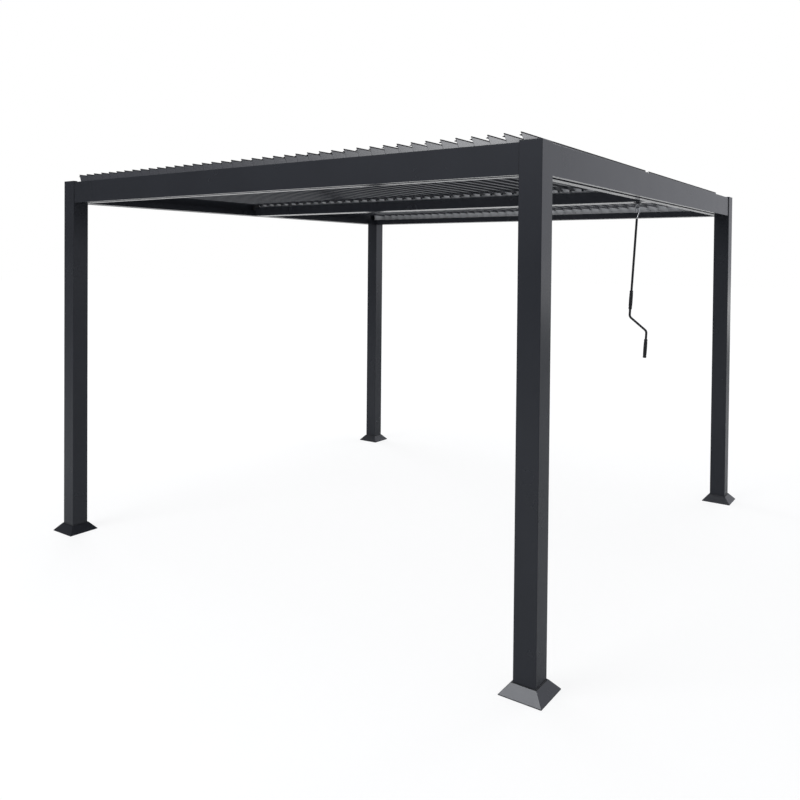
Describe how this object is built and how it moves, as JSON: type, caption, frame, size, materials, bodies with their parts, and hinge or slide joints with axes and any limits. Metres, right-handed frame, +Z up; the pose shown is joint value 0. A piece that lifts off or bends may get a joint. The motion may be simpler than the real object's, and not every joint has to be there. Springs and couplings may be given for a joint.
{
  "type": "louvered pergola",
  "caption": "Free-standing square garden pergola with square metal posts, gutter beams, a flat roof of tilting louvers in two banks and a hanging crank handle.",
  "frame": {"origin": "on the ground at the middle of the square plan", "axes": "+X to the right along the front beam, +Y from front to back along the louvers, +Z up"},
  "size_m": [3.634, 3.634, 2.4437],
  "materials": {
    "frame_coat": "fine-textured anthracite powder coat",
    "louver_coat": "satin anthracite powder coat",
    "mill_aluminium": "natural anodised, satin",
    "zinc_steel": "galvanised, dull",
    "bright_chrome": "polished",
    "black_coat": "black powder coat, satin",
    "black_nylon": "black nylon, fine grain"
  },
  "bodies": {
    "frame": {"front_posts": "frame_coat", "back_posts": "frame_coat", "post_caps": "frame_coat", "base_plates": "zinc_steel", "foot_covers": "frame_coat", "front_beam": "frame_coat", "back_beam": "frame_coat", "left_beam": "frame_coat", "right_beam": "frame_coat", "middle_beam": "frame_coat", "pivot_rails": "mill_aluminium", "gearbox": "black_nylon"},
    "louver_01": {"louver_01": "louver_coat"},
    "louver_02": {"louver_02": "louver_coat"},
    "louver_03": {"louver_03": "louver_coat"},
    "louver_04": {"louver_04": "louver_coat"},
    "louver_05": {"louver_05": "louver_coat"},
    "louver_06": {"louver_06": "louver_coat"},
    "louver_07": {"louver_07": "louver_coat"},
    "louver_08": {"louver_08": "louver_coat"},
    "louver_09": {"louver_09": "louver_coat"},
    "louver_10": {"louver_10": "louver_coat"},
    "louver_11": {"louver_11": "louver_coat"},
    "louver_12": {"louver_12": "louver_coat"},
    "louver_13": {"louver_13": "louver_coat"},
    "louver_14": {"louver_14": "louver_coat"},
    "louver_15": {"louver_15": "louver_coat"},
    "louver_16": {"louver_16": "louver_coat"},
    "louver_17": {"louver_17": "louver_coat"},
    "louver_18": {"louver_18": "louver_coat"},
    "louver_19": {"louver_19": "louver_coat"},
    "louver_20": {"louver_20": "louver_coat"},
    "louver_21": {"louver_21": "louver_coat"},
    "louver_22": {"louver_22": "louver_coat"},
    "louver_23": {"louver_23": "louver_coat"},
    "louver_24": {"louver_24": "louver_coat"},
    "louver_25": {"louver_25": "louver_coat"},
    "louver_26": {"louver_26": "louver_coat"},
    "louver_27": {"louver_27": "louver_coat"},
    "louver_28": {"louver_28": "louver_coat"},
    "louver_29": {"louver_29": "louver_coat"},
    "louver_30": {"louver_30": "louver_coat"},
    "louver_31": {"louver_31": "louver_coat"},
    "louver_32": {"louver_32": "louver_coat"},
    "louver_33": {"louver_33": "louver_coat"},
    "louver_34": {"louver_34": "louver_coat"},
    "louver_35": {"louver_35": "louver_coat"},
    "louver_36": {"louver_36": "louver_coat"},
    "louver_37": {"louver_37": "louver_coat"},
    "louver_38": {"louver_38": "louver_coat"},
    "louver_39": {"louver_39": "louver_coat"},
    "louver_40": {"louver_40": "louver_coat"},
    "louver_41": {"louver_41": "louver_coat"},
    "link_bars": {"link_bars": "mill_aluminium"},
    "crank_drive": {"crank_eye": "bright_chrome"},
    "crank_handle": {"crank_hook": "bright_chrome", "crank_rod": "black_coat"},
    "upper_grip": {"upper_grip": "black_nylon"},
    "lower_grip": {"lower_grip": "black_nylon"}
  },
  "joints": [
    {"name": "crank_turn", "type": "hinge", "parent": "frame", "child": "crank_drive", "pos_m": [1.597, 0, 2.25], "axis": [0, 0, 1], "range_deg": [-2280, 800]},
    {"name": "louver_01_tilt", "type": "hinge", "parent": "frame", "child": "louver_01", "pos_m": [-1.627, 0, 2.368], "axis": [0, 1, 0], "range_deg": [-57, 20]},
    {"name": "louver_02_tilt", "type": "hinge", "parent": "frame", "child": "louver_02", "pos_m": [-1.5445, 0, 2.368], "axis": [0, 1, 0], "range_deg": [-57, 20]},
    {"name": "louver_03_tilt", "type": "hinge", "parent": "frame", "child": "louver_03", "pos_m": [-1.462, 0, 2.368], "axis": [0, 1, 0], "range_deg": [-57, 20]},
    {"name": "louver_04_tilt", "type": "hinge", "parent": "frame", "child": "louver_04", "pos_m": [-1.3795, 0, 2.368], "axis": [0, 1, 0], "range_deg": [-57, 20]},
    {"name": "louver_05_tilt", "type": "hinge", "parent": "frame", "child": "louver_05", "pos_m": [-1.297, 0, 2.368], "axis": [0, 1, 0], "range_deg": [-57, 20]},
    {"name": "louver_06_tilt", "type": "hinge", "parent": "frame", "child": "louver_06", "pos_m": [-1.2145, 0, 2.368], "axis": [0, 1, 0], "range_deg": [-57, 20]},
    {"name": "louver_07_tilt", "type": "hinge", "parent": "frame", "child": "louver_07", "pos_m": [-1.132, 0, 2.368], "axis": [0, 1, 0], "range_deg": [-57, 20]},
    {"name": "louver_08_tilt", "type": "hinge", "parent": "frame", "child": "louver_08", "pos_m": [-1.0495, 0, 2.368], "axis": [0, 1, 0], "range_deg": [-57, 20]},
    {"name": "louver_09_tilt", "type": "hinge", "parent": "frame", "child": "louver_09", "pos_m": [-0.967, 0, 2.368], "axis": [0, 1, 0], "range_deg": [-57, 20]},
    {"name": "louver_10_tilt", "type": "hinge", "parent": "frame", "child": "louver_10", "pos_m": [-0.8845, 0, 2.368], "axis": [0, 1, 0], "range_deg": [-57, 20]},
    {"name": "louver_11_tilt", "type": "hinge", "parent": "frame", "child": "louver_11", "pos_m": [-0.802, 0, 2.368], "axis": [0, 1, 0], "range_deg": [-57, 20]},
    {"name": "louver_12_tilt", "type": "hinge", "parent": "frame", "child": "louver_12", "pos_m": [-0.7195, 0, 2.368], "axis": [0, 1, 0], "range_deg": [-57, 20]},
    {"name": "louver_13_tilt", "type": "hinge", "parent": "frame", "child": "louver_13", "pos_m": [-0.637, 0, 2.368], "axis": [0, 1, 0], "range_deg": [-57, 20]},
    {"name": "louver_14_tilt", "type": "hinge", "parent": "frame", "child": "louver_14", "pos_m": [-0.5545, 0, 2.368], "axis": [0, 1, 0], "range_deg": [-57, 20]},
    {"name": "louver_15_tilt", "type": "hinge", "parent": "frame", "child": "louver_15", "pos_m": [-0.472, 0, 2.368], "axis": [0, 1, 0], "range_deg": [-57, 20]},
    {"name": "louver_16_tilt", "type": "hinge", "parent": "frame", "child": "louver_16", "pos_m": [-0.3895, 0, 2.368], "axis": [0, 1, 0], "range_deg": [-57, 20]},
    {"name": "louver_17_tilt", "type": "hinge", "parent": "frame", "child": "louver_17", "pos_m": [-0.307, 0, 2.368], "axis": [0, 1, 0], "range_deg": [-57, 20]},
    {"name": "louver_18_tilt", "type": "hinge", "parent": "frame", "child": "louver_18", "pos_m": [-0.2245, 0, 2.368], "axis": [0, 1, 0], "range_deg": [-57, 20]},
    {"name": "louver_19_tilt", "type": "hinge", "parent": "frame", "child": "louver_19", "pos_m": [-0.142, 0, 2.368], "axis": [0, 1, 0], "range_deg": [-57, 20]},
    {"name": "louver_20_tilt", "type": "hinge", "parent": "frame", "child": "louver_20", "pos_m": [-0.0595, 0, 2.368], "axis": [0, 1, 0], "range_deg": [-57, 20]},
    {"name": "louver_21_tilt", "type": "hinge", "parent": "frame", "child": "louver_21", "pos_m": [0.023, 0, 2.368], "axis": [0, 1, 0], "range_deg": [-57, 20]},
    {"name": "louver_22_tilt", "type": "hinge", "parent": "frame", "child": "louver_22", "pos_m": [0.1055, 0, 2.368], "axis": [0, 1, 0], "range_deg": [-57, 20]},
    {"name": "louver_23_tilt", "type": "hinge", "parent": "frame", "child": "louver_23", "pos_m": [0.188, 0, 2.368], "axis": [0, 1, 0], "range_deg": [-57, 20]},
    {"name": "louver_24_tilt", "type": "hinge", "parent": "frame", "child": "louver_24", "pos_m": [0.2705, 0, 2.368], "axis": [0, 1, 0], "range_deg": [-57, 20]},
    {"name": "louver_25_tilt", "type": "hinge", "parent": "frame", "child": "louver_25", "pos_m": [0.353, 0, 2.368], "axis": [0, 1, 0], "range_deg": [-57, 20]},
    {"name": "louver_26_tilt", "type": "hinge", "parent": "frame", "child": "louver_26", "pos_m": [0.4355, 0, 2.368], "axis": [0, 1, 0], "range_deg": [-57, 20]},
    {"name": "louver_27_tilt", "type": "hinge", "parent": "frame", "child": "louver_27", "pos_m": [0.518, 0, 2.368], "axis": [0, 1, 0], "range_deg": [-57, 20]},
    {"name": "louver_28_tilt", "type": "hinge", "parent": "frame", "child": "louver_28", "pos_m": [0.6005, 0, 2.368], "axis": [0, 1, 0], "range_deg": [-57, 20]},
    {"name": "louver_29_tilt", "type": "hinge", "parent": "frame", "child": "louver_29", "pos_m": [0.683, 0, 2.368], "axis": [0, 1, 0], "range_deg": [-57, 20]},
    {"name": "louver_30_tilt", "type": "hinge", "parent": "frame", "child": "louver_30", "pos_m": [0.7655, 0, 2.368], "axis": [0, 1, 0], "range_deg": [-57, 20]},
    {"name": "louver_31_tilt", "type": "hinge", "parent": "frame", "child": "louver_31", "pos_m": [0.848, 0, 2.368], "axis": [0, 1, 0], "range_deg": [-57, 20]},
    {"name": "louver_32_tilt", "type": "hinge", "parent": "frame", "child": "louver_32", "pos_m": [0.9305, 0, 2.368], "axis": [0, 1, 0], "range_deg": [-57, 20]},
    {"name": "louver_33_tilt", "type": "hinge", "parent": "frame", "child": "louver_33", "pos_m": [1.013, 0, 2.368], "axis": [0, 1, 0], "range_deg": [-57, 20]},
    {"name": "louver_34_tilt", "type": "hinge", "parent": "frame", "child": "louver_34", "pos_m": [1.0955, 0, 2.368], "axis": [0, 1, 0], "range_deg": [-57, 20]},
    {"name": "louver_35_tilt", "type": "hinge", "parent": "frame", "child": "louver_35", "pos_m": [1.178, 0, 2.368], "axis": [0, 1, 0], "range_deg": [-57, 20]},
    {"name": "louver_36_tilt", "type": "hinge", "parent": "frame", "child": "louver_36", "pos_m": [1.2605, 0, 2.368], "axis": [0, 1, 0], "range_deg": [-57, 20]},
    {"name": "louver_37_tilt", "type": "hinge", "parent": "frame", "child": "louver_37", "pos_m": [1.343, 0, 2.368], "axis": [0, 1, 0], "range_deg": [-57, 20]},
    {"name": "louver_38_tilt", "type": "hinge", "parent": "frame", "child": "louver_38", "pos_m": [1.4255, 0, 2.368], "axis": [0, 1, 0], "range_deg": [-57, 20]},
    {"name": "louver_39_tilt", "type": "hinge", "parent": "frame", "child": "louver_39", "pos_m": [1.508, 0, 2.368], "axis": [0, 1, 0], "range_deg": [-57, 20]},
    {"name": "louver_40_tilt", "type": "hinge", "parent": "frame", "child": "louver_40", "pos_m": [1.5905, 0, 2.368], "axis": [0, 1, 0], "range_deg": [-57, 20]},
    {"name": "louver_41_tilt", "type": "hinge", "parent": "frame", "child": "louver_41", "pos_m": [1.673, 0, 2.368], "axis": [0, 1, 0], "range_deg": [-57, 20]},
    {"name": "link_bars_level", "type": "hinge", "parent": "louver_21", "child": "link_bars", "pos_m": [0.01348, 0, 2.33955], "axis": [0, 1, 0], "range_deg": [-20, 57]},
    {"name": "crank_swing", "type": "hinge", "parent": "crank_drive", "child": "crank_handle", "pos_m": [1.597, 0, 2.2125], "axis": [0.9848, -0.1736, 0], "range_deg": [-30, 30]},
    {"name": "upper_grip_spin", "type": "hinge", "parent": "crank_handle", "child": "upper_grip", "pos_m": [1.57381, -0.03312, 1.64845], "axis": [0.041, 0.0586, 0.9974], "continuous": true},
    {"name": "lower_grip_spin", "type": "hinge", "parent": "crank_handle", "child": "lower_grip", "pos_m": [1.63774, 0.05818, 1.3432], "axis": [0.041, 0.0586, 0.9974], "continuous": true}
  ],
  "couplings": [
    {"joint": "louver_01_tilt", "follows": "crank_turn", "ratio": 0.025},
    {"joint": "louver_02_tilt", "follows": "crank_turn", "ratio": 0.025},
    {"joint": "louver_03_tilt", "follows": "crank_turn", "ratio": 0.025},
    {"joint": "louver_04_tilt", "follows": "crank_turn", "ratio": 0.025},
    {"joint": "louver_05_tilt", "follows": "crank_turn", "ratio": 0.025},
    {"joint": "louver_06_tilt", "follows": "crank_turn", "ratio": 0.025},
    {"joint": "louver_07_tilt", "follows": "crank_turn", "ratio": 0.025},
    {"joint": "louver_08_tilt", "follows": "crank_turn", "ratio": 0.025},
    {"joint": "louver_09_tilt", "follows": "crank_turn", "ratio": 0.025},
    {"joint": "louver_10_tilt", "follows": "crank_turn", "ratio": 0.025},
    {"joint": "louver_11_tilt", "follows": "crank_turn", "ratio": 0.025},
    {"joint": "louver_12_tilt", "follows": "crank_turn", "ratio": 0.025},
    {"joint": "louver_13_tilt", "follows": "crank_turn", "ratio": 0.025},
    {"joint": "louver_14_tilt", "follows": "crank_turn", "ratio": 0.025},
    {"joint": "louver_15_tilt", "follows": "crank_turn", "ratio": 0.025},
    {"joint": "louver_16_tilt", "follows": "crank_turn", "ratio": 0.025},
    {"joint": "louver_17_tilt", "follows": "crank_turn", "ratio": 0.025},
    {"joint": "louver_18_tilt", "follows": "crank_turn", "ratio": 0.025},
    {"joint": "louver_19_tilt", "follows": "crank_turn", "ratio": 0.025},
    {"joint": "louver_20_tilt", "follows": "crank_turn", "ratio": 0.025},
    {"joint": "louver_21_tilt", "follows": "crank_turn", "ratio": 0.025},
    {"joint": "louver_22_tilt", "follows": "crank_turn", "ratio": 0.025},
    {"joint": "louver_23_tilt", "follows": "crank_turn", "ratio": 0.025},
    {"joint": "louver_24_tilt", "follows": "crank_turn", "ratio": 0.025},
    {"joint": "louver_25_tilt", "follows": "crank_turn", "ratio": 0.025},
    {"joint": "louver_26_tilt", "follows": "crank_turn", "ratio": 0.025},
    {"joint": "louver_27_tilt", "follows": "crank_turn", "ratio": 0.025},
    {"joint": "louver_28_tilt", "follows": "crank_turn", "ratio": 0.025},
    {"joint": "louver_29_tilt", "follows": "crank_turn", "ratio": 0.025},
    {"joint": "louver_30_tilt", "follows": "crank_turn", "ratio": 0.025},
    {"joint": "louver_31_tilt", "follows": "crank_turn", "ratio": 0.025},
    {"joint": "louver_32_tilt", "follows": "crank_turn", "ratio": 0.025},
    {"joint": "louver_33_tilt", "follows": "crank_turn", "ratio": 0.025},
    {"joint": "louver_34_tilt", "follows": "crank_turn", "ratio": 0.025},
    {"joint": "louver_35_tilt", "follows": "crank_turn", "ratio": 0.025},
    {"joint": "louver_36_tilt", "follows": "crank_turn", "ratio": 0.025},
    {"joint": "louver_37_tilt", "follows": "crank_turn", "ratio": 0.025},
    {"joint": "louver_38_tilt", "follows": "crank_turn", "ratio": 0.025},
    {"joint": "louver_39_tilt", "follows": "crank_turn", "ratio": 0.025},
    {"joint": "louver_40_tilt", "follows": "crank_turn", "ratio": 0.025},
    {"joint": "louver_41_tilt", "follows": "crank_turn", "ratio": 0.025},
    {"joint": "link_bars_level", "follows": "crank_turn", "ratio": -0.025}
  ]
}
